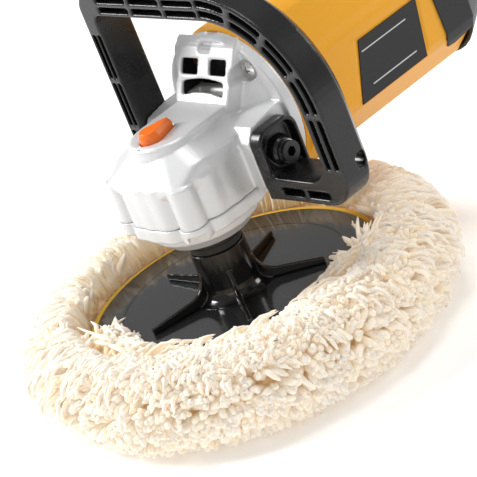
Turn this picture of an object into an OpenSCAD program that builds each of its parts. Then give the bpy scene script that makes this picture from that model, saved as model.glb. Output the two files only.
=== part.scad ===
/* [Polishing pad] */
// Radius of the stiff backing disc
disc_r = 88; // [84:1:89]
// Height of the disc's top above the pad's working face
disc_top = 40; // [38:1:42]
// Outer radius of the wool pile
wool_r = 128; // [120:1:132]
// Height to which the pile stands up round the disc
wool_top = 54; // [48:1:58]
// Number of ribs on the hub of the disc
rib_count = 5; // [4:1:7]
// Radius at which the ribs end
rib_r = 57; // [45:1:64]

/* [Gear head] */
// Height of the motor's axis above the working face
axis_z = 132; // [132:1:134]
// Half width of the side bosses that carry the loop handle
boss_x = 46.7; // [46:0.1:46.9]
// Teeth on the crown gear
crown_teeth = 38; // [38:1:38]
// Teeth on the pinion
pinion_teeth = 9; // [9:1:9]
// Radius of the spindle at its seal
spindle_r = 8.5; // [8:0.1:9]
// Travel of the spindle lock button
lock_travel = 4; // [2:0.5:4]

/* [Motor housing] */
// Radius of the motor housing and of the flange in front of it
housing_r = 50; // [49:0.5:51]
// Where the motor housing ends and the rear handle starts
housing_end = 204; // [200:1:206]
// Wall of the motor housing
housing_wall = 3.5; // [3:0.1:4]

/* [Loop handle] */
// Radius of the big bend, to the inside of the bar
bend_r = 57; // [54:1:58]
// Width of the bar, seen from the front
bar_w = 16; // [14:1:17]
// Depth of the bar from front to back
bar_depth = 24.5; // [23:0.5:27]
// Depth of the pockets in its front edge
pocket_depth = 9; // [5:1:12]

/* [Rear handle] */
// Where the rear handle ends
handle_end = 338; // [330:1:345]
// Bore of the cord inlet, as a radius
cord_r = 4; // [3.5:0.1:4.5]

/* [Hidden] */
$fn = 64;

e = 0.01;
run = 0.05;                    // running clearance of a shaft in its bearing
gap = 0.4;                     // space between parts that move past each other

// Pad stack, from the working face up
skin_z = 27;
foam_z = 28.5;
disc_z = disc_top - 4;
hub_r = 17;
hub_top = disc_top + 31;
seal_top = 82;

// Gear head
flange_z = 95;                 // underside of the bearing flange's plate
case_z = 103;                  // joint between the bearing flange and the gear case
column_xy = 27.4;              // corner screw columns
column_r = 8.4;
lug_z = 99;                    // underside of the lugs that the corner screws clamp
roof_z = 149;                  // top of the raised tongue
shoulder_z = 129;
cavity_z = 134;
gear_z = 112;
tooth_face_r = [22.5, 27.5];
mesh_r = 25;
pinion_r = mesh_r * pinion_teeth / crown_teeth;
tooth_z = axis_z - pinion_r;   // pitch plane of the crown gear
flange_y = 46;                 // front of the flange that meets the motor housing
neck_y = 26;                   // where the case starts to widen towards that flange
head_floor = 0.8;              // thickness of the wall in front of the fan
housing_y = 54;
screw_x = 29;
screw_seat_y = 48;             // seat of the screws into the motor housing
screw_z = 30;
lock_y = -16;

// Loop handle
handle_y = 13;
pivot_y = 29;
pivot_z = 121;
bend_x = 47;
bend_z = 155;
loop_top = bend_z + bend_r;
leg_x = -47.3;
plate_x = 47.1;
key_hole_r = 4.8;
loop_bottom = 98;
corner_r = 20;                 // outer bottom corner of the loop
back_chamfer = 6;

// Motor, along +Y
fan_y = 57;
stator_y = 80;
stator_len = 50;
commutator_y = 146;
brush_y = 156;
rear_bearing_y = 176;

// Rear handle
trigger_y = 240;
trigger_z = 106;
dial_y = 318;
dial_r = 11;
handle_screw_places = [[228, 146], [226, 110], [304, 105], [327, 106]];

// ---- helpers ----
module ring(ro, ri, h) {
    difference() {
        cylinder(r = ro, h = h);
        translate([0, 0, -1]) cylinder(r = ri, h = h + 2);
    }
}

// Lays +Z along +Y, at the motor's axis
module along_y(y, z = axis_z) { translate([0, y, z]) rotate([-90, 0, 0]) children(); }

// Extrudes a drawing in X and Z between two depths
module front_view(y0, y1) { translate([0, y1, 0]) rotate([90, 0, 0]) linear_extrude(y1 - y0) children(); }

// Extrudes a drawing in Y and Z between two sides
module side_view(x0, x1) { translate([x0, 0, 0]) rotate([90, 0, 90]) linear_extrude(x1 - x0) children(); }

module both_sides() {
    children();
    mirror([1, 0, 0]) children();
}

module at_corners(dx, dy) {
    for (sx = [-1, 1], sy = [-1, 1]) translate([sx * dx, sy * dy, 0]) children();
}

// A rectangle with round corners, exact at every radius
module round_rect(w, h, r) {
    square([w - 2 * r, h], center = true);
    square([w, h - 2 * r], center = true);
    at_corners(w / 2 - r, h / 2 - r) circle(r);
}

// A part of a ring between two angles
module ring_part(ro, ri, a0, a1) {
    far = ro * 2;
    am = (a0 + a1) / 2;
    intersection() {
        difference() {
            circle(ro);
            circle(ri);
        }
        polygon([[0, 0], far * [cos(a0), sin(a0)], far * [cos(am), sin(am)], far * [cos(a1), sin(a1)]]);
    }
}

// A pan head screw with a cross recess, head up
module pan_screw(r, len, head_r, head_h) {
    difference() {
        union() {
            translate([0, 0, -len]) cylinder(r = r, h = len + e);
            intersection() {
                cylinder(r = head_r, h = head_h);
                translate([0, 0, head_h - head_r * 1.5]) sphere(r = head_r * 1.5);
            }
        }
        for (a = [0, 90]) {
            rotate(a) translate([-head_r * 0.55, -0.45, head_h * 0.4]) cube([head_r * 1.1, 0.9, head_h]);
        }
    }
}

// ---- pad ----
module wool_bonnet() {
    color("wheat") rotate_extrude($fn = 96) difference() {
        union() {
            translate([0, 0]) square([96, skin_z]);
            translate([96, skin_z / 2]) circle(skin_z / 2);
            translate([wool_r - 27, 27]) circle(27);
            translate([wool_r - 21, wool_top - 21]) circle(21);
            translate([disc_r + 3, 14]) square([15, wool_top - 24]);
            translate([disc_r + 11, wool_top - 10]) circle(8);
        }
        translate([-1, skin_z]) square([disc_r + 5, 40]);
        translate([-200, -200]) square([200, 400]);
        translate([-200, -200]) square([400, 200]);
    }
}

module wool_backing() {
    color("antiquewhite") translate([0, 0, skin_z]) cylinder(r = disc_r + 3.6, h = foam_z - skin_z);
}

module foam_layer() {
    color("goldenrod") translate([0, 0, foam_z]) {
        cylinder(r = disc_r + 3.4, h = disc_z - foam_z);
        ring(disc_r + 3.4, disc_r + gap, disc_top - 1 - foam_z);
    }
}

// The disc is dished a little under its raised rim, with a shallow ring moulded in its face
module backing_disc() {
    color("dimgray") rotate_extrude($fn = 128) difference() {
        polygon([[0, disc_z], [disc_r - 0.8, disc_z], [disc_r, disc_z + 0.8], [disc_r, disc_top - 1],
            [disc_r - 1, disc_top], [0, disc_top]]);
        translate([0.8 * disc_r, disc_top]) square([0.5, 0.8], center = true);
    }
}

module rib() {
    side_view(-1.35, 1.35) polygon([[hub_r - 3, disc_top + 0.3], [rib_r, disc_top + 0.3],
        [rib_r, disc_top + 4], [hub_r + 10, disc_top + 6.4], [hub_r + 6, disc_top + 8],
        [hub_r + 3.4, disc_top + 10.5], [hub_r + 1.6, disc_top + 14], [hub_r + 0.6, disc_top + 18],
        [hub_r - 3, disc_top + 19]]);
}

module backing_hub() {
    bore = 11;
    color("black") {
        rotate_extrude() polygon([[bore, disc_top], [hub_r + 8, disc_top], [hub_r + 5, disc_top + 0.7],
            [hub_r + 2.4, disc_top + 2.4], [hub_r + 0.7, disc_top + 5], [hub_r, disc_top + 8],
            [hub_r, hub_top], [bore, hub_top]]);
        for (k = [0 : rib_count - 1]) rotate(k * 360 / rib_count + 21) rib();
    }
}

module hub_insert() {
    color("silver") translate([0, 0, disc_top]) difference() {
        cylinder(r = 11, h = hub_top - disc_top - 2);
        translate([0, 0, 4]) cylinder(r = 7, h = 40);
    }
}

// ---- spindle ----
module spindle() {
    color("silver") difference() {
        union() {
            translate([0, 0, 46]) cylinder(r = 7, h = 26);
            translate([0, 0, hub_top + 0.5]) cylinder(r = 12, h = 4);
            translate([0, 0, hub_top]) cylinder(r = spindle_r, h = 108 - hub_top);
            translate([0, 0, 108]) cylinder(r = 8, h = 16.5);
            translate([0, 0, 124]) cylinder(r = 5, h = 10.5);
        }
        translate([7, -1.5, gear_z]) cube([2, 3, 12.6]);
    }
}

module spindle_seal() {
    color("black") translate([0, 0, hub_top + 0.5]) difference() {
        union() {
            cylinder(r = 16, h = seal_top - hub_top - 1.5);
            translate([0, 0, 2]) cylinder(r = 16.6, h = 2);
            translate([0, 0, 6]) cylinder(r = 16.6, h = 2);
        }
        translate([0, 0, -1]) cylinder(r = spindle_r, h = 40);
        translate([0, 0, -1]) cylinder(r = 12, h = 5);
    }
}

module crown_gear() {
    step = 360 / crown_teeth;
    w = 2 * PI * mesh_r / crown_teeth * 0.3;
    r0 = tooth_face_r[0];
    r1 = tooth_face_r[1];
    color("slategray") difference() {
        union() {
            translate([0, 0, gear_z]) cylinder(r = 31, h = 12.5);
            for (k = [0 : crown_teeth - 1]) {
                rotate(90 + (k + 0.5) * step) translate([r0, 0, gear_z + 12.4]) rotate([90, 0, 90])
                    linear_extrude(r1 - r0) polygon([[-w / 2, 0], [w / 2, 0], [w / 3, 2.8], [-w / 3, 2.8]]);
            }
        }
        translate([0, 0, gear_z - 1]) cylinder(r = 8, h = 30);
        translate([7, -1.5, gear_z - 1]) cube([2.6, 3, 20]);
        for (k = [0 : 3]) {
            rotate(k * 90) translate([0, lock_y, gear_z - 1]) cylinder(r = 3.2, h = 30);
        }
    }
}

module gear_key() {
    color("silver") translate([7, -1.5, gear_z]) cube([2.6, 3, 12.4]);
}

module circlip() {
    color("gray") translate([0, 0, gear_z - 1.6]) ring(11.5, 8, 1.6);
}

// ---- gear head ----
// The round body with its four screw columns, drawn flat
module head_outline(grow = 0) {
    circle(38.5 + grow);
    round_rect(76 + 2 * grow, 50 + 2 * grow, 14);
    round_rect(46 + 2 * grow, 76 + 2 * grow, 12);
    at_corners(column_xy, column_xy) circle(column_r + grow);
}

module bearing_flange() {
    color("lightgray") difference() {
        union() {
            translate([0, 0, flange_z]) linear_extrude(case_z - flange_z) head_outline(0.9);
            translate([0, 0, 88]) cylinder(r = 33, h = 8);
            rotate_extrude() polygon([[0, seal_top], [26.6, seal_top], [28, 84], [31.5, 88.1], [0, 88.1]]);
            translate([0, 0, case_z - e]) cylinder(r = 32.6, h = 3);
        }
        translate([0, 0, seal_top - 1]) cylinder(r = spindle_r + gap, h = 40);
        translate([0, 0, 92]) cylinder(r = 20, h = 40);
        translate([0, 0, seal_top - 1]) cylinder(r = 17.2, h = 2.4);
        at_corners(column_xy, column_xy) translate([0, 0, flange_z - 1]) cylinder(r = 2.3, h = 20);
        // room round the screw heads, open to the outside
        for (a = [45 : 90 : 315]) rotate(a) translate([column_xy * sqrt(2), 0, flange_z - 10]) {
            cylinder(r = 5.4, h = lug_z - flange_z + 10);
            translate([0, -5.4, 0]) cube([20, 10.8, lug_z - flange_z + 10]);
        }
    }
}

module spindle_bearing() {
    color("silver") translate([0, 0, 92]) ring(20, spindle_r + run, 12);
}

module top_bearing() {
    color("silver") translate([0, 0, 126.6]) ring(9, 5 + run, 8);
}

module flange_screws() {
    color("silver") at_corners(column_xy, column_xy) translate([0, 0, lug_z]) rotate([180, 0, 0])
        pan_screw(2.2, 20, 4.4, 3.2);
}

// Shape of the lock button, and of the recess it sits in
module tear(grow = 0) {
    hull() {
        translate([0, -13.5]) circle(7.2 + grow, $fn = 32);
        translate([0, 0.5]) circle(2.6 + grow, $fn = 32);
    }
}

// The head's outside: walls, sloping shoulder, raised tongue, side bosses and the vent cowl
module case_outside() {
    translate([0, 0, case_z]) linear_extrude(shoulder_z - case_z) head_outline();
    hull() {
        translate([0, 0, shoulder_z - 9]) cylinder(r = 38, h = 1, $fn = 32);
        translate([0, 0, shoulder_z - 1]) cylinder(r = 38.5, h = 1, $fn = 32);
        translate([0, 0, shoulder_z - 1]) linear_extrude(1) round_rect(68, 71, 9, $fn = 32);
        translate([0, 7, 136]) linear_extrude(1) round_rect(72, 62, 16, $fn = 32);
        translate([0, 9, roof_z - 4.5]) linear_extrude(0.5) round_rect(44, 62, 18, $fn = 32);
    }
    hull() {
        translate([0, -4, 136]) cylinder(r = 22.5, h = roof_z - 138, $fn = 32);
        translate([0, -4, 136]) cylinder(r = 20.5, h = roof_z - 136, $fn = 32);
        translate([0, 40, 136]) linear_extrude(roof_z - 136) square([42, 10], center = true);
    }
    side_view(-boss_x, boss_x) polygon([[14, 104], [14, 132], [20, 140], [38, 143], [48, 143],
        [48, 97 + 6], [15, 97 + 6]]);
    along_y(neck_y) cylinder(r1 = 16, r2 = 43, h = flange_y - neck_y + 1);
    along_y(flange_y) cylinder(r = housing_r, h = housing_y - flange_y);
    cowl();
}

module cowl() {
    intersection() {
        side_view(-27, 27) polygon([[24, 140], [26.2, 147], [43.5, 176.5], [50, 181.6], [50, 140]]);
        translate([0, 38, 0]) linear_extrude(200) polygon([[-22, -14], [22, -14], [26.5, 4], [26.5, 14],
            [-26.5, 14], [-26.5, 4]]);
    }
}

// Air outlets through the cowl's sloping face
module cowl_vents() {
    for (sx = [-1, 1]) {
        translate([sx * 12.5, 38, 167]) rotate([-30, 0, 0]) translate([-7.5, -16, -4.6])
            cube([15, 30, 9.2]);
    }
    translate([0, 32, 157.4]) rotate([-30, 0, 0]) intersection() {
        translate([-18, -16, -9]) cube([36, 30, 18]);
        rotate([90, 0, 0]) translate([0, -75.5, -15]) difference() {
            cylinder(r = 80, h = 30);
            translate([0, 0, -1]) cylinder(r = 72, h = 32);
        }
    }
}

module gear_case() {
    color("whitesmoke") difference() {
        case_outside();
        // gear chamber and roof
        translate([0, 0, case_z - 1]) cylinder(r = 32.7, h = 25);
        translate([0, 0, case_z]) ring(30, 12, 129.5 - case_z);
        translate([0, 0, case_z]) ring(21, 12, cavity_z - case_z);
        translate([0, 0, case_z]) cylinder(r = 9, h = 126.6 + 8.4 - case_z);
        translate([0, 0, case_z]) cylinder(r = 13, h = 126 - case_z);
        // pinion tunnel, front bearing and fan chamber
        along_y(12) cylinder(r = 12, h = 24);
        along_y(30) cylinder(r = 11, h = 30);
        along_y(screw_seat_y + head_floor) cylinder(r = 40, h = 10);
        // air duct inside the cowl
        side_view(-20.5, 20.5) polygon([[33, 154], [43.5, 171.8], [48, 174.6], [60, 174.6], [60, 150], [33, 150]]);
        cowl_vents();
        translate([-4, 44, 176]) rotate([-55, 0, 0]) translate([0, 0, -3]) linear_extrude(20) hull() {
            circle(1.2, $fn = 24);
            translate([8, 0]) circle(1.2, $fn = 24);
        }
        // screws of the two flanges
        at_corners(column_xy, column_xy) translate([0, 0, case_z - 1]) cylinder(r = 2.2, h = 21);
        along_y(0) at_corners(screw_x, screw_z) {
            cylinder(r = 2.4, h = 80);
            translate([0, 0, 30]) cylinder(r = 6.2, h = screw_seat_y - 30);
        }
        // room for the bearing flange, then the side bosses' threads
        translate([-60, -60, case_z - 60]) cube([120, 60 + flange_y - 6.5, 60]);
        translate([0, pivot_y, pivot_z]) rotate([0, 90, 0]) both_ends_x() cylinder(r = 4, h = 14);
        // spindle lock: recess, notch and pin hole
        translate([0, 0, 139.5]) linear_extrude(20) tear(0.5);
        translate([0, lock_y, 130]) cylinder(r = 2.6 + run, h = 20);
        translate([0, -23.5, roof_z]) sphere(r = 1.9, $fn = 24);
    }
}

// Repeats a hole that starts 34 from the middle on both sides, along its own +Z
module both_ends_x() {
    for (s = [0, 180]) rotate([s, 0, 0]) translate([0, 0, boss_x - 12]) children();
}

module housing_screws() {
    color("silver") along_y(screw_seat_y) at_corners(screw_x, screw_z) rotate([180, 0, 0]) pan_screw(2.3, 20, 4.6, 3.4);
}

// ---- spindle lock ----
module lock_button() {
    color("darkorange") difference() {
        translate([0, 0, 139.5 + lock_travel + 0.3]) hull() {
            linear_extrude(8) tear();
            translate([0, -0.3, 11.2]) linear_extrude(e) tear(-1.6);
        }
        translate([0, lock_y, 140]) cylinder(r = 2.5, h = 8);
    }
}

module lock_pin() {
    color("silver") translate([0, lock_y, 125.5]) cylinder(r = 2.5, h = 22.5);
}

module lock_spring() {
    color("gray") translate([0, lock_y, 139.6]) ring(4, 3, 4);
}

// ---- loop handle ----
// Points of an arc, from one angle to another
function arc(cx, cy, r, a0, a1, n = 8) = [for (k = [0 : n]) let (a = a0 + (a1 - a0) * k / n)
    [cx + r * cos(a), cy + r * sin(a)]];

// The loop seen from the front: outside from the bolt plate round to the straight leg, then back inside
module loop_outline() {
    ro = bend_r + bar_w;
    fillet_r = 16;
    leg_w = 11;
    bottom = loop_bottom;
    far_top = loop_top + bar_w - 1.5;
    polygon(concat(
        [[plate_x + 1.5, bottom - 0.6], [72, bottom]],
        arc(bend_x + ro - corner_r, bottom + corner_r, corner_r, -90, 0),
        arc(bend_x, bend_z, ro, 0, 90, 24),
        arc(leg_x + 1, far_top - 12, 12, 90, 180),
        [[leg_x - leg_w, bottom], [leg_x, bottom]],
        arc(leg_x + 5, loop_top - 5, 5, 180, 90, 5),
        arc(bend_x, bend_z, bend_r, 90, 0, 24),
        arc(bend_x + bend_r - fillet_r, bottom + 14 + fillet_r, fillet_r, 0, -90),
        arc(plate_x + 15, bottom + 24, 10, -90, -170, 5),
        [[plate_x + 1.5, bottom + 26]]));
}

// Two rows of pockets in the front edge, with the cross ribs left standing
module pocket_rows() {
    row = 3.6;
    web = (bar_w - 2 * row) / 3;
    for (k = [0, 1]) {
        r0 = bend_r + web + k * (row + web);
        for (a = [0 : 3]) {
            translate([bend_x, bend_z]) ring_part(r0 + row, r0, 2 + a * 22.5, 20.5 + a * 22.5);
        }
        for (x = [-40, -10, 20]) translate([x, loop_top + web + k * (row + web) - 0.6]) square([27, row - 0.3]);
        for (z = [106, 138, 170]) {
            translate([leg_x - 11 + 1.7 + k * 4.4, z]) square([3.2, 29]);
        }
        translate([bend_x + r0, 122]) square([row, 31]);
    }
    for (x = [62, 83]) translate([x, 101.5]) square([18, 4.5]);
}

module bolt_plate() {
    difference() {
        union() {
            side_view(plate_x, plate_x + 9) translate([29.3, 117.7]) round_rect(31, 42, 9);
            translate([plate_x, pivot_y, pivot_z]) rotate([0, 90, 0]) cylinder(r = 7.6, h = 11);
        }
        side_view(plate_x + 3, plate_x + 12) difference() {
            translate([29.3, 117.7]) round_rect(25.6, 36.6, 6.5);
            translate([pivot_y, pivot_z]) circle(8.6);
        }
    }
}

// Chamfer of a round corner's back edge; drawn with the corner's centre at the origin
module corner_chamfer(r, upper) {
    rotate([-90, 0, 0]) difference() {
        translate([0, upper ? -r - 3 : 0, 0]) cube([r + 3, r + 3, back_chamfer + 1]);
        translate([0, 0, -e]) cylinder(r1 = r + e, r2 = r - back_chamfer - 1 - e, h = back_chamfer + 1 + 2 * e);
    }
}

// What the chamfer takes off along the whole outside of the bar
module loop_chamfer() {
    c = back_chamfer;
    back = handle_y + bar_depth;
    side = bend_x + bend_r + bar_w;
    top = loop_top + bar_w - 0.8;
    translate([bend_x, back - c, bend_z]) corner_chamfer(bend_r + bar_w, true);
    translate([side - corner_r, back - c, loop_bottom + corner_r]) corner_chamfer(corner_r, false);
    translate([0, 0, loop_bottom + corner_r]) linear_extrude(bend_z - loop_bottom - corner_r)
        polygon([[side - c - 1, back + 1], [side + 1, back - c - 1], [side + 1, back + 1]]);
    side_view(leg_x - 20, bend_x) polygon([[back - c - 1, top + 1], [back + 1, top - c - 1], [back + 1, top + 1]]);
}

module loop_handle() {
    bore_r = 5 + run;
    color("black") difference() {
        union() {
            front_view(handle_y, handle_y + bar_depth) loop_outline();
            bolt_plate();
            mirror([1, 0, 0]) bolt_plate();
        }
        front_view(handle_y - 1, handle_y + pocket_depth) pocket_rows();
        loop_chamfer();
        translate([-70, pivot_y, pivot_z]) rotate([0, 90, 0]) cylinder(r = bore_r, h = 140);
        // a key reaches the bolt through the outer leg
        translate([70, pivot_y, pivot_z]) rotate([0, 90, 0]) cylinder(r = key_hole_r, h = 80);
    }
}

module handle_bolts() {
    color("black") both_sides() translate([boss_x - 12, pivot_y, pivot_z]) rotate([0, 90, 0]) difference() {
        union() {
            cylinder(r = 4, h = 13);
            translate([0, 0, 12]) cylinder(r = 5, h = 12.2);
            translate([0, 0, 24.9]) cylinder(r = 6.4, h = 2.8);
            translate([0, 0, 24]) cylinder(r = 5, h = 1.2);
        }
        translate([0, 0, 23]) cylinder(r = 3.2, h = 8, $fn = 6);
    }
}

module bolt_washers() {
    color("gray") both_sides() translate([boss_x + 11.9, pivot_y, pivot_z]) rotate([0, 90, 0])
        ring(6.8, 5, 1);
}

// ---- motor housing ----
// Cross section of the housing: a round barrel cut by flats
module barrel(r) {
    intersection() {
        circle(r + 1.5, $fn = 96);
        square([2 * r - 5, 2 * r - 1], center = true);
        rotate(45) square([2 * r - 0.5, 2 * r - 0.5], center = true);
    }
}

module motor_housing() {
    inner = housing_r - housing_wall - 2.5;
    color("orange") difference() {
        union() {
            along_y(housing_y) cylinder(r = housing_r, h = 10);
            along_y(housing_y + 4) linear_extrude(housing_end - housing_y - 4) barrel(housing_r);
        }
        difference() {
            along_y(housing_y - 1) cylinder(r = inner, h = rear_bearing_y - housing_y + 1);
            along_y(housing_y - 1) at_corners(screw_x, screw_z) cylinder(r = 5.5, h = 15.2);
        }
        along_y(housing_y) cylinder(r = 11, h = 200);
        along_y(rear_bearing_y + 12) cylinder(r = inner - 2, h = 60);
        // air ways past the rear bearing
        for (a = [45 : 90 : 315]) along_y(rear_bearing_y - 1) rotate(a) translate([26, 0, 0]) cylinder(r = 9, h = 20);
        along_y(0) at_corners(screw_x, screw_z) cylinder(r = 2.3, h = 69.5);
        // shallow panels in the sides
        both_sides() side_view(housing_r - 3.5, housing_r + 5) side_panel();
        // brushes
        for (s = [0, 180]) along_y(brush_y) rotate([0, 0, s]) rotate([-90, 0, 0]) cylinder(r = 8.2, h = 70);
    }
}

// Parallelogram panel on each side, on the housing's flat
module side_panel(inset = 0) {
    polygon([[99 + inset, 106 + inset], [112 + inset, 146 - inset], [168 - inset, 146 - inset],
        [162 - inset, 106 + inset]]);
}

module side_plates() {
    color("black") both_sides() side_view(housing_r - 3.5, housing_r - 2.7) side_panel(2.2);
}

// Soft panels over the back of the housing's sides
module side_grips() {
    color("dimgray") both_sides() difference() {
        intersection() {
            along_y(170) linear_extrude(housing_end - 170 - 0.2) barrel(housing_r + 1.3);
            side_view(20, 60) polygon([[176, 170], [179, 108], [183, 101], [190, 100], [215, 106], [215, 170]]);
        }
        along_y(160) linear_extrude(60) barrel(housing_r);
    }
}

module air_baffle() {
    color("black") along_y(68.4) difference() {
        ring(43.4, 30, 3);
        at_corners(screw_x, screw_z) translate([0, 0, -1]) cylinder(r = 3, h = 6);
    }
}

module stator() {
    color("slategray") along_y(stator_y) difference() {
        intersection() {
            cylinder(r = 43, h = stator_len);
            translate([-38, -38, 0]) cube([76, 76, stator_len]);
        }
        translate([0, 0, -1]) cylinder(r = 26, h = 60);
        for (s = [-1, 1]) translate([-22, s * 29 - 5, -1]) cube([44, 10, 60]);
    }
}

module field_coils() {
    color("saddlebrown") for (s = [-1, 1]) {
        along_y(stator_y - 6) translate([-20, s * 30 - 3.4, 0]) cube([40, 6.8, stator_len + 12]);
    }
}

module front_bearing() { color("silver") along_y(36) ring(11, 4 + run, 9); }

module rear_bearing() { color("silver") along_y(rear_bearing_y) ring(11, 4 + run, 9); }

module brush_holders() {
    color("darkgoldenrod") for (s = [-1, 1]) {
        translate([0, brush_y, axis_z]) scale([1, 1, s]) translate([0, 0, 15]) difference() {
            translate([-5.5, -5.5, 0]) cube([11, 11, 27]);
            translate([-3.5, -3.5, -1]) cube([7, 7, 40]);
        }
    }
}

module brushes() {
    color("black") for (s = [-1, 1]) {
        translate([0, brush_y, axis_z]) scale([1, 1, s]) translate([-3.3, -3.3, 13.4]) cube([6.6, 6.6, 17]);
    }
}

module brush_caps() {
    color("black") for (s = [-1, 1]) {
        translate([0, brush_y, axis_z]) scale([1, 1, s]) translate([0, 0, 43]) difference() {
            cylinder(r = 8.2, h = 6.5);
            translate([-6, -0.8, 5]) cube([12, 1.6, 3]);
        }
    }
}

// ---- rotor ----
module armature_shaft() {
    color("silver") along_y(31) cylinder(r = 4, h = rear_bearing_y + 11 - 31);
}

module pinion() {
    w = 2 * PI * pinion_r / pinion_teeth * 0.3;
    color("slategray") {
        along_y(20) linear_extrude(10) {
            circle(pinion_r - 1.5);
            for (k = [0 : pinion_teeth - 1]) {
                rotate(90 + k * 360 / pinion_teeth) translate([pinion_r - 2, 0])
                    polygon([[0, -w / 2], [3, -w / 3], [3, w / 3], [0, w / 2]]);
            }
        }
        along_y(30) cylinder(r = 4, h = 1);
    }
}

module armature_core() {
    color("slategray") along_y(stator_y) difference() {
        cylinder(r = 25.4, h = stator_len);
        translate([0, 0, -1]) cylinder(r = 4, h = 60);
        for (k = [0 : 11]) rotate(k * 30) translate([20, -1.2, -1]) cube([8, 2.4, 60]);
    }
}

module armature_coils() {
    color("saddlebrown") {
        along_y(stator_y - 7) ring(21, 4, 7);
        along_y(stator_y + stator_len) ring(20, 4, 11);
    }
}

module commutator() { color("peru") along_y(commutator_y) ring(13, 4, 20); }

module fan() {
    color("black") along_y(fan_y) {
        ring(34, 4, 2);
        ring(9, 4, 10);
        for (k = [0 : 10]) rotate(k * 360 / 11) translate([14, -0.8, 1]) cube([19, 1.6, 8.4]);
    }
}

// ---- rear handle ----
function section_list(inset) = [
    [housing_end + 0.3, 132, 47 - inset, 48.5 - inset],
    [238, 129, 27 - inset, 31 - inset],
    [300, 126, 23 - inset, 29 - inset],
    [handle_end - 3, 126, 25 - inset, 32 - inset]];

// A tapering body through oval sections: distance, height, half width, half height
module handle_body(inset) {
    s = section_list(inset);
    for (k = [0 : len(s) - 2]) {
        hull() {
            for (m = [k, k + 1]) {
                translate([0, s[m][0], s[m][1]]) rotate([-90, 0, 0]) linear_extrude(0.5)
                    round_rect(2 * s[m][2], 2 * s[m][3], s[m][2] * 0.72, $fn = 32);
            }
        }
    }
}

module handle_shell() {
    difference() {
        union() {
            handle_body(0);
            along_y(handle_end - 3, 126) linear_extrude(3) round_rect(44, 58, 16);
        }
        difference() {
            handle_body(2.8);
            translate([-60, handle_end - 7, 60]) cube([120, 20, 140]);
            for (p = handle_screw_places) {
                translate([-60, p[0], p[1]]) rotate([0, 90, 0]) cylinder(r = 5.5, h = 120);
            }
        }
        // trigger slot, dial slot, lock-on hole, cord inlet and screw holes
        translate([-9, trigger_y - 7, 80]) cube([18, 62, 30]);
        translate([-4, dial_y - 12.5, 130]) cube([8, 25, 50]);
        translate([0, 262, 118]) rotate([0, 90, 0]) cylinder(r = 5.4, h = 40);
        along_y(handle_end - 20, 122) cylinder(r = 9, h = 60);
        for (p = handle_screw_places) {
            translate([-40, p[0], p[1]]) rotate([0, 90, 0]) cylinder(r = 1.7, h = 80);
            translate([-60, p[0], p[1]]) rotate([0, 90, 0]) cylinder(r = 4, h = 45);
        }
    }
}

module handle_left() {
    color("black") intersection() {
        handle_shell();
        translate([0, 100, 0]) cube([100, 300, 300]);
    }
}

module handle_right() {
    color("black") intersection() {
        handle_shell();
        translate([-100, 100, 0]) cube([100 - 0.1, 300, 300]);
    }
}

// Soft grip over each half's side
module grip_shape() {
    difference() {
        intersection() {
            handle_body(-1.3);
            side_view(8, 60) translate([286, 131]) round_rect(84, 34, 13);
        }
        handle_body(0);
        translate([0, 262, 118]) rotate([0, 90, 0]) cylinder(r = 8.4, h = 40);
    }
}

module grip_left() { color("dimgray") grip_shape(); }

module grip_right() { color("dimgray") mirror([1, 0, 0]) grip_shape(); }

module handle_screws() {
    color("silver") for (p = handle_screw_places) {
        translate([-15.1, p[0], p[1]]) rotate([0, -90, 0]) pan_screw(1.7, 22, 3.5, 2.2);
    }
}

module switch_module() {
    color("black") translate([-10, 252, 118]) cube([20, 40, 24]);
}

module trigger() {
    color("black") difference() {
        union() {
            translate([-8.4, 0, 0]) rotate([90, 0, 90]) linear_extrude(16.8) polygon([[236, 108], [290, 106],
                [292, 99], [280, 91], [262, 88], [246, 92], [236, 100]]);
        }
        translate([-20, trigger_y + 2, trigger_z - 2]) rotate([0, 90, 0]) cylinder(r = 2 + run, h = 40);
    }
}

module trigger_pin() {
    color("silver") translate([-12, trigger_y + 2, trigger_z - 2]) rotate([0, 90, 0]) cylinder(r = 2, h = 24);
}

module trigger_spring() {
    color("gray") translate([0, 280, 106.6]) ring(3.4, 2.6, 11.2);
}

module lock_on_button() {
    color("darkorange") translate([18, 262, 118]) rotate([0, 90, 0]) {
        cylinder(r = 5, h = 9);
        cylinder(r = 4.2, h = 10);
    }
}

module speed_dial() {
    color("black") translate([-3.2, dial_y, 150]) rotate([0, 90, 0]) difference() {
        union() {
            cylinder(r = dial_r - 0.6, h = 6.4);
            for (k = [0 : 23]) rotate(k * 15) translate([dial_r - 1.2, -0.7, 0]) cube([1.2, 1.4, 6.4]);
        }
        translate([0, 0, -1]) cylinder(r = 2 + run, h = 10);
    }
}

module dial_pin() {
    color("silver") translate([-9, dial_y, 150]) rotate([0, 90, 0]) cylinder(r = 2, h = 18);
}

module cord_gland() {
    color("black") along_y(handle_end - 10, 122) difference() {
        union() {
            cylinder(r = 9, h = 10);
            cylinder(r = 10, h = 3);
            translate([0, 0, 10]) cylinder(r = 10.5, h = 3);
            translate([0, 0, 12]) cylinder(r1 = 9, r2 = 7.5, h = 9);
        }
        translate([0, 0, -1]) cylinder(r = cord_r, h = 40);
    }
}

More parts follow.
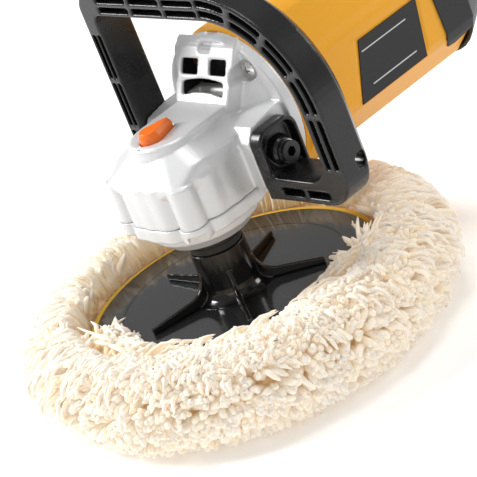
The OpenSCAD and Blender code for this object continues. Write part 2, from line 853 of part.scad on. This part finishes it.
wool_bonnet();
wool_backing();
foam_layer();
backing_disc();
backing_hub();
hub_insert();
spindle();
spindle_seal();
crown_gear();
gear_key();
circlip();
bearing_flange();
spindle_bearing();
top_bearing();
flange_screws();
gear_case();
housing_screws();
handle_bolts();
bolt_washers();
loop_handle();
lock_button();
lock_pin();
lock_spring();
motor_housing();
side_plates();
side_grips();
air_baffle();
stator();
field_coils();
front_bearing();
rear_bearing();
brush_holders();
brushes();
brush_caps();
armature_shaft();
pinion();
armature_core();
armature_coils();
commutator();
fan();
handle_left();
handle_right();
grip_left();
grip_right();
handle_screws();
switch_module();
trigger();
trigger_pin();
trigger_spring();
lock_on_button();
speed_dial();
dial_pin();
cord_gland();
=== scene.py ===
# Rotary polisher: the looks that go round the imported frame. Metres, +Z up the spindle, -Y the nose.
import bpy, math
import numpy as np
from mathutils import Matrix, Vector


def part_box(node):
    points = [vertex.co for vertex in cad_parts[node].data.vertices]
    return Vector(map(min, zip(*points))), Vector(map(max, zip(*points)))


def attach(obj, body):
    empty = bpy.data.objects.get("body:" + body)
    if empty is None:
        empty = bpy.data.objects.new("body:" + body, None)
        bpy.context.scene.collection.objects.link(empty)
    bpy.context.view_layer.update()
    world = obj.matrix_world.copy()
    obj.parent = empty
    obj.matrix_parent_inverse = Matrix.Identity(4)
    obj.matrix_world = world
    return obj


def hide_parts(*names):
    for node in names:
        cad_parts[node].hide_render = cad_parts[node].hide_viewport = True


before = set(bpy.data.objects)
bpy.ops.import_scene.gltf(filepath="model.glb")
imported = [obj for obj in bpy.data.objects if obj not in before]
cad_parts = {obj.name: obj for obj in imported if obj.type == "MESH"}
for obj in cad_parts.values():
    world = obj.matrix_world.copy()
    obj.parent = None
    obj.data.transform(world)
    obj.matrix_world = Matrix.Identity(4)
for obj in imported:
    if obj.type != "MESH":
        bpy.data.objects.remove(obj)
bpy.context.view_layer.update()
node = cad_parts
MM = 0.001

# --- View and studio ---------------------------------------------------------------------
# The tool is seen from its nose and left side, from a little above and with the camera rolled,
# over a pale floor and under large soft lamps.
AZIMUTH, ELEVATION, ROLL = math.radians(56.0), math.radians(25.15), math.radians(-22.55)
DISTANCE = 1.5                           # from the camera to the middle of the disc's face
LENS, SENSOR = 192.4, 36                 # millimetres
NEAREST, FARTHEST = 0.05, 50
OFF_RIGHT, OFF_UP = 0.0015, 0.01893      # slopes of the view's middle line off the disc's centre
LAMPS_AIM = Vector((0, 0.05, 0.1))
AMBIENT = 0.42

_, disc_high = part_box("backing_disc")
aim = Vector((0, 0, disc_high.z))
flat = math.cos(ELEVATION)
back = Vector((math.sin(AZIMUTH) * flat, -math.cos(AZIMUTH) * flat, math.sin(ELEVATION)))
level = Vector((math.cos(AZIMUTH), math.sin(AZIMUTH), 0))
above = back.cross(level)
right = math.cos(ROLL) * level + math.sin(ROLL) * above
up = -math.sin(ROLL) * level + math.cos(ROLL) * above
eye = aim + back * DISTANCE
view = (back - OFF_RIGHT * right - OFF_UP * up).normalized()
right = (right - right.dot(view) * view).normalized()
up = view.cross(right)
turned = Matrix((right, up, view)).transposed().to_quaternion()

lens = bpy.data.cameras.new("camera")
lens.lens = LENS
lens.sensor_width = SENSOR
lens.clip_start = NEAREST
lens.clip_end = FARTHEST
camera = bpy.data.objects.new("camera", lens)
camera.matrix_world = Matrix.LocRotScale(eye, turned, None)
bpy.context.scene.collection.objects.link(camera)
bpy.context.scene.camera = camera
bpy.context.scene.view_settings.view_transform = "Standard"


def lamp(name, place, size, power):
    light = bpy.data.lights.new(name, "AREA")
    light.shape = "DISK"
    light.size = size
    light.energy = power
    o = bpy.data.objects.new(name, light)
    o.location = place
    o.rotation_euler = (LAMPS_AIM - Vector(place)).to_track_quat("-Z", "Y").to_euler()
    bpy.context.scene.collection.objects.link(o)


lamp("key", (-1.5, -1.0, 1.5), 0.9, 50)
lamp("fill", (1.6, -2.2, 1.2), 1.8, 9)
lamp("top", (0.2, 0.3, 2.3), 1.0, 16)
lamp("rim", (1.0, 1.9, 1.0), 0.7, 10)
world = bpy.data.worlds.new("studio")
world.use_nodes = True
sky = world.node_tree.nodes["Background"]
sky.inputs["Color"].default_value = (1, 1, 1, 1)
sky.inputs["Strength"].default_value = AMBIENT
bpy.context.scene.world = world

# --- Floor -------------------------------------------------------------------------------
# A wide flat sheet of pale board that the pad stands on; part of the studio, not of the tool.
# Socket and Finish serve every material here: each is one Principled shader fed by nodes,
# and shader values are written as sums.
FLOOR_REACH = 6.0
FLOOR_DROP = 0.6 * MM                    # how far the board lies under the pad's face, where z is 0
BOARD, PALE_BOARD = (0.88, 0.88, 0.88), (0.92, 0.92, 0.915)


class Socket:
    def __init__(self, shop, link):
        self.shop = shop
        self.link = link

    def math(self, op, other=None, swapped=False):
        if other is None:
            inputs = {0: self}
        elif swapped:
            inputs = {0: other, 1: self}
        else:
            inputs = {0: self, 1: other}
        return self.shop.node("ShaderNodeMath", {"operation": op}, inputs)

    def __add__(self, other):
        return self.math("ADD", other)

    def __radd__(self, other):
        return self.math("ADD", other)

    def __sub__(self, other):
        return self.math("SUBTRACT", other)

    def __rsub__(self, other):
        return self.math("SUBTRACT", other, True)

    def __mul__(self, other):
        return self.math("MULTIPLY", other)

    def __truediv__(self, other):
        return self.math("DIVIDE", other)

    def clamped(self):
        return self.math("MAXIMUM", 0.0).math("MINIMUM", 1.0)

    def smooth(self, low, high):
        """0 below low, 1 above high, with a soft step between."""
        return self.shop.node("ShaderNodeMapRange", {"interpolation_type": "SMOOTHSTEP"},
                              {0: self, 1: low, 2: high, 3: 0.0, 4: 1.0})


class Finish:
    def __init__(self, name, **fixed):
        self.material = bpy.data.materials.new(name)
        self.material.use_nodes = True
        self.tree = self.material.node_tree
        self.shader = self.tree.nodes["Principled BSDF"]
        self.set(**fixed)
        self.place = self.node("ShaderNodeTexCoord", {}, {}, "Object")

    def node(self, kind, settings, inputs, out=0):
        """Adds a node: its type, its settings, its inputs (values or sockets), and the output wanted."""
        added = self.tree.nodes.new(kind)
        for key, value in settings.items():
            setattr(added, key, value)
        for key, value in inputs.items():
            if isinstance(value, Socket):
                self.tree.links.new(value.link, added.inputs[key])
            elif isinstance(value, tuple) and len(value) == 3 and added.inputs[key].type == "RGBA":
                added.inputs[key].default_value = (*value, 1)
            else:
                added.inputs[key].default_value = value
        return Socket(self, added.outputs[out])

    def noise(self, scale, detail=3.0, rough=0.55):
        return self.node("ShaderNodeTexNoise", {},
                         {"Vector": self.place, "Scale": scale, "Detail": detail, "Roughness": rough})

    def axis(self, k):
        return self.node("ShaderNodeSeparateXYZ", {}, {0: self.place}, k)

    def mix(self, a, b, share):
        return self.node("ShaderNodeMix", {"data_type": "RGBA"}, {0: share, 6: a, 7: b}, 2)

    def proud(self, low, high):
        """0 in hollows below low, 1 on edges above high, where a flat surface counts as 0.5."""
        return self.node("ShaderNodeNewGeometry", {}, {}, "Pointiness").smooth(low, high)

    def set(self, **sockets):
        for key, value in sockets.items():
            target = self.shader.inputs[key.replace("_", " ")]
            if isinstance(value, Socket):
                self.tree.links.new(value.link, target)
            else:
                target.default_value = value

    def bump(self, height, depth, strength=1.0):
        raised = self.node("ShaderNodeBump", {}, {"Height": height, "Distance": depth, "Strength": strength})
        self.tree.links.new(raised.link, self.shader.inputs["Normal"])


def floor():
    corners = [(-1, -1), (1, -1), (1, 1), (-1, 1)]
    mesh = bpy.data.meshes.new("floor")
    points = [(x * FLOOR_REACH, y * FLOOR_REACH, -FLOOR_DROP) for x, y in corners]
    mesh.from_pydata(points, [], [(0, 1, 2, 3)])
    o = bpy.data.objects.new("floor", mesh)
    bpy.context.scene.collection.objects.link(o)
    f = Finish("pale_board", Specular_IOR_Level=0.2)
    board = f.mix(BOARD, PALE_BOARD, f.noise(3))
    f.set(Base_Color=board, Roughness=0.75, Emission_Color=board, Emission_Strength=0.22)
    mesh.materials.append(f.material)


floor()

# --- Gear case and bearing flange --------------------------------------------------------
# Aluminium die castings, painted silver-white; screwed to each other and to the motor housing.
# The duct behind the vent cowl's sloping face has painted shade: its inside is coloured near-black.
WHITE, PALE_WHITE = (0.64, 0.643, 0.648), (0.71, 0.712, 0.715)
# The second colour of the next line is painted shade, near-black, for the inside of the vent duct.
GRIME, DUCT_SHADE = (0.25, 0.245, 0.24), (0.01, 0.01, 0.01)
FACE_Y, FACE_Z = 0.0262, 0.147           # a point on the cowl's sloping face
INTO_Y, INTO_Z = 0.8625, 0.506           # the way into the cowl, as shares of +Y and of -Z
# Each pair below is where the duct's painted shade starts or ends: soft from the first value to the second.
DUCT_SHADE_DEPTH = (0.0012, 0.0024)
DUCT_SIDES = (0.0205, 0.0212)
DUCT_FLOOR = (0.1495, 0.151)
DUCT_ROOF = (0.1745, 0.1755)


def painted_casting():
    f = Finish("painted_casting", Coat_Weight=0.25, Coat_Roughness=0.25, Specular_IOR_Level=0.5)
    cloud = f.noise(18, 4)
    peel = f.noise(420, 2)
    grime = (f.noise(60, 5, 0.7).smooth(0.45, 0.8) * (1 - f.proud(0.40, 0.49))).clamped()
    x, y, z = [f.axis(k) for k in range(3)]
    # Painted shade: behind the cowl's sloping face, inside the duct, the paint colour gives way to
    # near-black.
    depth = (y - FACE_Y) * INTO_Y - (z - FACE_Z) * INTO_Z
    across = depth.smooth(*DUCT_SHADE_DEPTH) * (1 - x.math("ABSOLUTE").smooth(*DUCT_SIDES))
    duct = across * z.smooth(*DUCT_FLOOR) * (1 - z.smooth(*DUCT_ROOF))
    paint = f.mix(f.mix(WHITE, PALE_WHITE, cloud), GRIME, grime * 0.5)
    f.set(Base_Color=f.mix(paint, DUCT_SHADE, duct),
          Metallic=(cloud * 0.15 + 0.25).clamped(),
          Roughness=(cloud * 0.1 + 0.34 + peel * 0.06).clamped())
    f.bump(peel + f.noise(60, 3) * 0.8, 0.08 * MM)
    return f.material


def put(material, *names):
    for name in names:
        mesh = node[name].data
        mesh.materials.clear()
        mesh.materials.append(material)


def cast(name, grain, turns=3, keep=1.0):
    """Rounds every edge of a moulded or cast part a little, as its mould would. Grain in mm."""
    o = node[name]
    weld = o.modifiers.new("weld", "WELD")
    weld.merge_threshold = 0.01 * MM
    skin = o.modifiers.new("skin", "REMESH")
    skin.mode = "VOXEL"
    skin.voxel_size = grain * MM
    skin.use_smooth_shade = True
    radius = o.modifiers.new("radius", "SMOOTH")
    radius.factor = 0.5
    radius.iterations = turns
    if keep < 1:
        thin = o.modifiers.new("thin", "DECIMATE")
        thin.ratio = keep


put(painted_casting(), "gear_case", "bearing_flange")
cast("gear_case", 0.8, 4, 0.6)
cast("bearing_flange", 0.7, 3, 0.8)


# --- Screws and bolts --------------------------------------------------------------------
# Plated cross-head screws in the castings and shells, bright washers and pins, and the loop
# handle's two black socket bolts.
def metal(name, colour, rough):
    """Bare metal: turning or brushing marks, and a light film of handling."""
    f = Finish(name, Metallic=1.0)
    fine = f.noise(1100, 3)
    cloud = f.noise(40, 4)
    dark = tuple(0.8 * c for c in colour)
    f.set(Base_Color=f.mix(dark, colour, cloud.smooth(0.25, 0.7)),
          Roughness=(cloud * 0.12 + rough + fine * 0.07).clamped())
    f.bump(fine, 0.02 * MM)
    return f.material


put(metal("plated_screw", (0.78, 0.77, 0.75), 0.16), "flange_screws", "housing_screws", "handle_screws",
    "bolt_washers", "trigger_pin", "dial_pin")
put(metal("blackened_bolt", (0.07, 0.07, 0.072), 0.35), "handle_bolts")

# --- Spindle and gears -------------------------------------------------------------------
# Ground and turned steel, oiled teeth and plain wire springs, nearly all of it hidden inside
# the head, the motor and the handle.
put(metal("ground_steel", (0.6, 0.6, 0.6), 0.22), "spindle", "hub_insert", "gear_key", "lock_pin",
    "spindle_bearing", "top_bearing", "front_bearing", "rear_bearing", "armature_shaft")
put(metal("oiled_gear_steel", (0.3, 0.3, 0.31), 0.2), "crown_gear", "pinion", "circlip")
put(metal("spring_wire", (0.4, 0.4, 0.4), 0.3), "lock_spring", "trigger_spring")


# --- Motor's inner parts -----------------------------------------------------------------
# Stacked laminations, varnished copper, brass brush holders and carbon brushes, with a fan,
# baffle and switch of plain dark plastic.
def moulded(name, colour, rough, grain=0.06, grain_scale=900, coat=0.0, specular=0.5, tone=0.12):
    """Moulded plastic: a grain (mm deep), slow changes of tone, and scuffs on its edges."""
    f = Finish(name, Coat_Weight=coat, Coat_Roughness=0.12, Specular_IOR_Level=specular)
    cloud = f.noise(14, 4)
    fine = f.noise(grain_scale, 2)
    scuff = (f.noise(160, 5, 0.7).smooth(0.52, 0.75) * f.proud(0.52, 0.6)).clamped()
    dark = tuple(c * (1 - tone) for c in colour)
    light = tuple(min(1, c * (1 + tone) + 0.004) for c in colour)
    worn = tuple(c + (0.4 - c) * 0.12 for c in colour)
    f.set(Base_Color=f.mix(f.mix(dark, light, cloud), worn, scuff * 0.5),
          Roughness=(cloud * 0.1 + (rough - 0.05) + fine * 0.04 + scuff * 0.1).clamped())
    f.bump(fine + f.noise(70, 2) * 0.6, grain * MM)
    return f.material


put(metal("laminations", (0.28, 0.28, 0.29), 0.4), "stator", "armature_core")
put(metal("varnished_copper", (0.55, 0.22, 0.09), 0.25), "field_coils", "armature_coils")
put(metal("copper_bars", (0.75, 0.38, 0.2), 0.25), "commutator")
put(metal("brass_holder", (0.72, 0.5, 0.2), 0.3), "brush_holders")
put(moulded("carbon", (0.02, 0.02, 0.02), 0.6), "brushes")
put(moulded("inner_plastic", (0.03, 0.03, 0.032), 0.45), "fan", "air_baffle", "switch_module")

# --- Motor housing -----------------------------------------------------------------------
# A barrel of amber nylon, injection moulded, with flats along its sides. Four screws hold it
# to the gear case.
amber = (0.84, 0.38, 0.016)
put(moulded("amber_nylon", amber, 0.38, grain=0.05, grain_scale=1000, specular=0.35, tone=0.08),
    "motor_housing")
cast("motor_housing", 0.9, 4, 0.6)

# --- Side plates -------------------------------------------------------------------------
# Blank black plates with two printed lines, stuck into a panel on each side of the housing.
# The sizes are shares of the plate's height, and the lines' ends a share of its length.
LINE_PLACE = 0.3
LINE_EDGE = (0.008, 0.014)
LINE_END = (0.30, 0.31)
PLATE, PALE_PLATE, LINE = (0.006, 0.006, 0.0065), (0.011, 0.011, 0.012), (0.6, 0.6, 0.6)


def plate_finish():
    f = Finish("black_plate", Specular_IOR_Level=0.4)
    low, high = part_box("side_plates")
    across = (f.axis(2) - (low.z + high.z) / 2) / (high.z - low.z)
    along = (f.axis(1) - (low.y + high.y) / 2) / (high.y - low.y)
    off_line = (across.math("ABSOLUTE") - LINE_PLACE).math("ABSOLUTE")
    line = (1 - off_line.smooth(*LINE_EDGE)) * (1 - along.math("ABSOLUTE").smooth(*LINE_END))
    cloud = f.noise(30, 4)
    plate = f.mix(PLATE, PALE_PLATE, cloud)
    f.set(Base_Color=f.mix(plate, LINE, line),
          Roughness=(cloud * 0.12 + 0.28).clamped())
    f.bump(f.noise(900, 2), 0.02 * MM)
    return f.material


put(plate_finish(), "side_plates")

# --- Loop handle -------------------------------------------------------------------------
# One moulding of black glass-filled nylon, with pockets in its front edge to keep its wall even.
# A bolt through each foot clamps it to the gear case.
put(moulded("black_nylon", (0.004, 0.004, 0.0042), 0.26, grain=0.05, grain_scale=1300), "loop_handle")
cast("loop_handle", 0.75, 6, 0.6)

# --- Rear handle -------------------------------------------------------------------------
# Two black shells screwed together, with a trigger and a dial between them and soft grips
# moulded over their sides.
shell = moulded("black_shell", (0.008, 0.008, 0.0085), 0.42, grain=0.07, grain_scale=1100)
put(shell, "handle_left", "handle_right", "trigger", "brush_caps", "speed_dial")
for part in ("handle_left", "handle_right"):
    cast(part, 0.8, 3, 0.6)
cast("trigger", 0.6, 4)
grip = moulded("soft_grip", (0.03, 0.03, 0.032), 0.62, grain=0.09, grain_scale=700, specular=0.35)
put(grip, "side_grips", "grip_left", "grip_right")
for part in ("side_grips", "grip_left", "grip_right"):
    cast(part, 0.45, 3, 0.7)

# --- Buttons -----------------------------------------------------------------------------
# The spindle lock on the gear case and the trigger's lock-on button, moulded in orange. Each
# is pressed in against a spring.
put(moulded("orange_button", (0.84, 0.16, 0.006), 0.36, grain=0.04), "lock_button", "lock_on_button")
cast("lock_button", 0.35, 5)

# --- Rubber ------------------------------------------------------------------------------
# The spindle's seal, a ribbed sleeve that turns with the spindle above the hub, and the cord
# inlet's gland, held between the handle's shells.
rubber = moulded("black_rubber", (0.012, 0.012, 0.012), 0.5, grain=0.06, grain_scale=600)
put(rubber, "spindle_seal", "cord_gland")

# --- Backing disc, hub and foam ----------------------------------------------------------
# Glossy black nylon moulded over the threaded insert. A layer of mustard foam is glued under
# the disc, and the wool's woven backing hooks on to it.
put(moulded("polished_disc", (0.012, 0.012, 0.0125), 0.1, grain=0.01, grain_scale=500, coat=0.4),
    "backing_disc")
put(moulded("polished_hub", (0.003, 0.003, 0.0031), 0.12, grain=0.01, grain_scale=500), "backing_hub")
cast("backing_hub", 0.45, 3, 0.6)
put(moulded("mustard_foam", (0.66, 0.42, 0.04), 0.8, grain=0.2, grain_scale=500), "foam_layer")
put(moulded("backing_cloth", (0.55, 0.42, 0.28), 0.9, grain=0.2, grain_scale=800), "wool_backing")

# --- Wool --------------------------------------------------------------------------------
# Twisted wool yarn tufted into a skin, cut and combed. Blunt knobs of yarn crowd the edge and the
# underside; longer locks lie outwards over the top, and curl in over the disc on one side.
rng = np.random.default_rng(7)
NEAR = math.radians(-34)                 # the side of the pad where the locks curl inwards
# The felted core's outline and the yarns' reach, each from the middle of the underside round the
# outer edge and in to the lip over the disc: radius and height, mm.
CORE = np.array([(0, 9), (60, 9), (92, 9), (102, 11), (109, 16), (112, 24), (111.5, 32), (108, 39),
                 (103, 43), (98, 44), (94.6, 41), (93.2, 36), (92.6, 27.8)]) * MM
REACH = np.array([(0, 0.3), (60, 0.3), (101, 0.4), (117, 4), (126, 12), (130.5, 23), (130, 36), (123, 47),
                  (113, 54), (103, 57), (95, 55), (90.5, 49), (89.5, 42)]) * MM
CORE_TURNS, CORE_ROWS = 180, 60
CORE_START = 0.02                        # share of the outline left open at the middle, then capped
LIP_START, LIP_FADE = 0.8, 12            # where the woven skin starts to show, and how fast
LUMP = 0.5 * MM                          # how rough the felt is, up to LUMP_END, where its lip evens out
LUMP_END, LUMP_FADE = 0.93, 20
RING_R, RING_Z = 110 * MM, 27.5 * MM     # middle of the oval ring that the yarns are laid down on
RING_HIGH, RING_WIDE = 29.5 * MM, 18.5 * MM          # half its height and its least half width
RING_MORE = 7.5 * MM                     # what its two long sides add to that width
RING_INNER = 55 * MM                     # yarns that lean in over the disc are hardly held back
UNEVEN = ((0.8 * MM, 9, 1), (0.6 * MM, 23, 0))       # the ring's waves: height, how many round, start
STATIONS = np.array([0, 0.22, 0.44, 0.64, 0.82, 0.94, 1.0])      # shares of a yarn's length
BLUNT = np.array([0.75, 0.95, 1.05, 1.1, 1.0, 0.72, 0.3])        # its thickness there, if cut square
POINTED = np.array([1.0, 1.0, 0.92, 0.75, 0.5, 0.28, 0.1])       # and if drawn out to a point
SIDES = 6                                # points round a yarn
WAVE, WAVE_TURN = 0.9 * MM, 5            # how far a yarn strays sideways, and how fast, in radians a length
PLY = 0.16                               # how far the yarn's two plies stand out, as a share of its radius
# The first colour below is painted shade: a darker tan towards the yarns' roots and on the felted core, for
# the shade deep in the pile.
SHADED_ROOT, TIP = (0.90, 0.66, 0.33), (0.97, 0.86, 0.72)
WARM, BLEACHED, SKIN = (0.96, 0.80, 0.60), (0.98, 0.92, 0.83), (0.72, 0.44, 0.25)


def wool_finish():
    f = Finish("wool", Sheen_Weight=0.35, Sheen_Roughness=0.6, Specular_IOR_Level=0.12,
               Subsurface_Weight=0.35, Subsurface_Radius=(0.006, 0.004, 0.0025), Subsurface_Scale=1.0)
    pile = f.node("ShaderNodeAttribute", {"attribute_name": "pile"}, {}, "Color")
    along, tone, skin = [f.node("ShaderNodeSeparateColor", {}, {0: pile}, k) for k in range(3)]
    # Painted shade: each yarn darkens to tan towards its root.
    wool = f.mix(SHADED_ROOT, TIP, along.smooth(0.1, 0.7))
    wool = f.mix(wool, WARM, tone * 0.55)
    wool = f.mix(wool, BLEACHED, f.noise(90, 3).smooth(0.45, 0.7) * 0.5)
    wool = f.mix(wool, SKIN, skin)
    # Painted light: the wool glows faintly in its own colour, lifting it brighter than the lamps make it.
    f.set(Base_Color=wool, Roughness=0.9, Emission_Color=wool, Emission_Strength=0.09)
    f.bump(f.noise(1500, 3), 0.2 * MM, 0.6)
    return f.material


wool_material = wool_finish()


def wool_piece(name, verts, faces, colours):
    """Colours are each point's place along its yarn, its yarn's tone and how much skin shows."""
    mesh = bpy.data.meshes.new(name)
    mesh.from_pydata(verts.tolist(), [], faces)
    mesh.polygons.foreach_set("use_smooth", [True] * len(mesh.polygons))
    colour = mesh.color_attributes.new("pile", "FLOAT_COLOR", "POINT")
    colour.data.foreach_set("color", colours.astype(np.float32).ravel())
    mesh.materials.append(wool_material)
    o = bpy.data.objects.new(name, mesh)
    bpy.context.scene.collection.objects.link(o)
    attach(o, "spindle")
    return o


def on_outline(line, t):
    """Radius and height at the shares t along an outline."""
    k = t * (len(line) - 1)
    return np.stack([np.interp(k, np.arange(len(line)), line[:, c]) for c in (0, 1)], -1)


def unit(v):
    return v / np.linalg.norm(v, axis=-1, keepdims=True)


def core():
    """The felted heart of the pile, closed underneath and at its inner lip."""
    a = np.linspace(0, 2 * np.pi, CORE_TURNS, endpoint=False)[:, None]
    t = np.linspace(CORE_START, 1, CORE_ROWS)
    lumps = rng.normal(0, LUMP, (CORE_TURNS, CORE_ROWS, 2))
    rz = on_outline(CORE, t)[None] + lumps * np.clip((LUMP_END - t) * LUMP_FADE, 0, 1)[None, :, None]
    verts = np.stack([rz[..., 0] * np.cos(a), rz[..., 0] * np.sin(a), rz[..., 1]], -1).reshape(-1, 3)
    faces = []
    for i in range(CORE_TURNS):
        here, after = i * CORE_ROWS, (i + 1) % CORE_TURNS * CORE_ROWS
        faces += [(here + k, after + k, after + k + 1, here + k + 1) for k in range(CORE_ROWS - 1)]
    first_points = [i * CORE_ROWS for i in range(CORE_TURNS)]
    faces += [first_points[::-1], [p + CORE_ROWS - 1 for p in first_points]]
    skin = np.clip((t - LIP_START) * LIP_FADE, 0, 1)
    # The core takes the colour near the yarns' roots: painted shade of the pile's depths.
    colours = np.stack([np.full(CORE_ROWS, 0.2), np.full(CORE_ROWS, 0.6), skin, np.ones(CORE_ROWS)], 1)
    o = wool_piece("wool_core", verts, faces, np.tile(colours, (CORE_TURNS, 1)))
    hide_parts("wool_bonnet")


core()


def laid(path, proud):
    """Lays yarns that would stand out of the pile down on to its surface, an oval ring."""
    r = np.hypot(path[..., 0], path[..., 1])
    a = np.arctan2(path[..., 1], path[..., 0])
    wide = RING_WIDE + RING_MORE * (0.5 + 0.5 * np.cos(2 * (a - NEAR - math.pi / 2)))
    for wave_high, waves, start in UNEVEN:
        wide = wide + wave_high * np.sin(waves * a + start)
    half = np.where(r > RING_R, wide, RING_INNER) * proud[:, None]
    high = RING_HIGH * proud[:, None]
    dr = r - RING_R
    dz = path[..., 2] - RING_Z
    out = np.maximum(np.hypot(dr / half, dz / high), 1)
    held = RING_R + dr / out
    return np.stack([held * np.cos(a), held * np.sin(a), RING_Z + dz / out], -1)


def paths(t, a, length, out, over, curl):
    """Middle lines of yarns rooted at t round the outline and at angle a. Each sets off the way the
    outline faces, turned by `over` along it (+ inwards over the disc), and then bends by `curl`."""
    radial = np.stack([np.cos(a), np.sin(a), 0 * a], -1)
    around = np.stack([-np.sin(a), np.cos(a), 0 * a], -1)
    z = np.array([0, 0, 1.0])
    root = on_outline(CORE, t)
    ahead = unit(on_outline(CORE, np.clip(t + 0.02, 0, 1)) - on_outline(CORE, np.clip(t - 0.02, 0, 1)))
    full = np.linalg.norm(on_outline(REACH, t) - root, axis=1)
    way = unit(on_outline(REACH, t) - root)
    way = radial * way[:, :1] + z * way[:, 1:]
    ahead = radial * ahead[:, :1] + z * ahead[:, 1:]
    first = unit(way + ahead * over[:, None] + around * out[:, None])
    bend = ahead * curl[:, None] + around * (out * 0.5)[:, None]
    length = (length * full)[:, None, None]
    s = STATIONS[None, :, None]
    path = (radial * root[:, :1] + z * root[:, 1:])[:, None] + first[:, None] * (s * length)
    path = path + bend[:, None] * s ** 2 * length
    n = len(t)
    wave = np.sin(STATIONS[None] * WAVE_TURN + rng.uniform(0, 6, (n, 1))) * rng.uniform(0.2, 1, (n, 1)) * WAVE
    return laid(path + around[:, None] * wave[:, :, None], rng.uniform(0.93, 1.03, n)), around


def yarns(name, t, a, length, radius, tip, out, over, curl):
    """One twisted yarn a row, from pointed (tip 0) to blunt (tip 1)."""
    n = len(t)
    rings = len(STATIONS)
    path, around = paths(t, a, length, out, over, curl)
    path[..., 2] = np.maximum(path[..., 2], radius[:, None] * 0.8)
    tangent = unit(np.gradient(path, axis=1))
    side = unit(np.cross(tangent, around[:, None] + np.array([0, 0, 0.3])))
    other = np.cross(tangent, side)
    ang = np.arange(SIDES) * 2 * np.pi / SIDES
    fat = radius[:, None] * (BLUNT[None] * tip[:, None] + POINTED[None] * (1 - tip[:, None]))
    twist = STATIONS[None] * rng.uniform(3, 6, (n, 1)) + rng.uniform(0, 6, (n, 1))
    r = (fat[:, :, None] * (1 + PLY * np.cos(2 * (ang[None, None] - twist[:, :, None]))))[..., None]
    cos, sin = np.cos(ang)[:, None], np.sin(ang)[:, None]
    points = path[:, :, None] + r * (cos * side[:, :, None] + sin * other[:, :, None])
    base = (np.arange(n) * rings * SIDES)[:, None, None]
    k = np.arange(rings - 1)[None, :, None] * SIDES
    m = np.arange(SIDES)[None, None]
    m2 = (m + 1) % SIDES
    quads = np.stack([base + k + m, base + k + m2, base + k + SIDES + m2, base + k + SIDES + m], -1)
    ends = base[:, 0] + (rings - 1) * SIDES + np.arange(SIDES)[None]
    starts = base[:, 0] + np.arange(SIDES)[None, ::-1]
    faces = quads.reshape(-1, 4).tolist() + ends.tolist() + starts.tolist()
    tone = np.repeat(rng.uniform(0, 1, n), rings * SIDES)
    along = np.tile(np.repeat(STATIONS, SIDES), n)
    colours = np.stack([along, tone, 0 * tone, 0 * tone + 1], 1)
    return wool_piece(name, points.reshape(-1, 3), faces, colours)


def locks(count, size, t_low, t_high, share, close):
    """Roots of yarns that grow in locks: t, a, and how near the curling side each is, -1 to 1.
    Share is the share of locks kept halfway round, and how it grows towards the curling side."""
    n = count // size
    a = rng.uniform(0, 2 * np.pi, n * 4)
    if share is not None:
        a = a[rng.uniform(0, 1, n * 4) < share[0] + share[1] * np.cos(a - NEAR)]
    a = a[:n]
    t = rng.uniform(t_low, t_high, len(a))
    a = np.repeat(a, size)
    t = np.repeat(t, size)
    t = np.clip(t + rng.normal(0, 0.012, len(t)), t_low, t_high)
    reach = np.maximum(on_outline(CORE, t)[:, 0], 20 * MM)
    a = a + rng.normal(0, close * MM, len(a)) / reach
    return t, a, np.cos(a - NEAR)


def each_lock(n, size, spread):
    """A value shared by each lock, with a little of each yarn's own."""
    return np.repeat(rng.normal(0, spread, n // size + 1), size)[:n] + rng.normal(0, spread * 0.35, n)


def band(name, count, size, span, radius, tip, length, sway, over, curl, share=None, close=4):
    """Yarns in locks of one size over a span of the outline. Radius and close in mm. Over, curl and
    share each have a value halfway round and how much it grows towards the curling side."""
    t, a, near = locks(count, size, *span, share, close)
    n = len(t)
    length = rng.uniform(*length, n)
    radius = rng.uniform(*radius, n) * MM
    tip = rng.uniform(*tip, n)
    out = each_lock(n, size, sway)
    over = over[0] + over[1] * near + each_lock(n, size, sway)
    curl = curl[0] + curl[1] * near + each_lock(n, size, sway * 0.6)
    yarns(name, t, a, length, radius, tip, out, over, curl)


band("wool_under", 1500, 3, (0.08, 0.26), (2.6, 3.4), (0.9, 1.0), (0.85, 1.0), 0.12,
     over=(0, 0), curl=(0, 0))
band("wool_edge_low", 2300, 3, (0.22, 0.44), (2.4, 3.2), (0.85, 1.0), (0.8, 1.02), 0.2,
     over=(-0.12, 0), curl=(0, 0))
band("wool_edge_high", 2400, 4, (0.4, 0.66), (2.0, 2.9), (0.5, 1.0), (0.85, 1.1), 0.3,
     over=(-0.35, 0.45), curl=(-0.25, 0.3))
band("wool_combed", 2400, 6, (0.6, 0.88), (1.4, 2.2), (0.1, 0.6), (1.2, 1.9), 0.22,
     over=(-0.9, 0.8), curl=(-1.1, 1.0), share=(0.75, -0.25), close=3)
band("wool_crest", 2200, 5, (0.56, 0.82), (1.8, 2.6), (0.3, 0.9), (0.9, 1.25), 0.35,
     over=(-0.1, 0.3), curl=(0.1, 0.25), share=(0.55, 0.45))
band("wool_curl", 1600, 10, (0.78, 0.95), (1.5, 2.3), (0.0, 0.35), (2.0, 3.3), 0.3,
     over=(1.0, 0.5), curl=(0.1, 0.25), share=(0.1, 1.5), close=2.4)
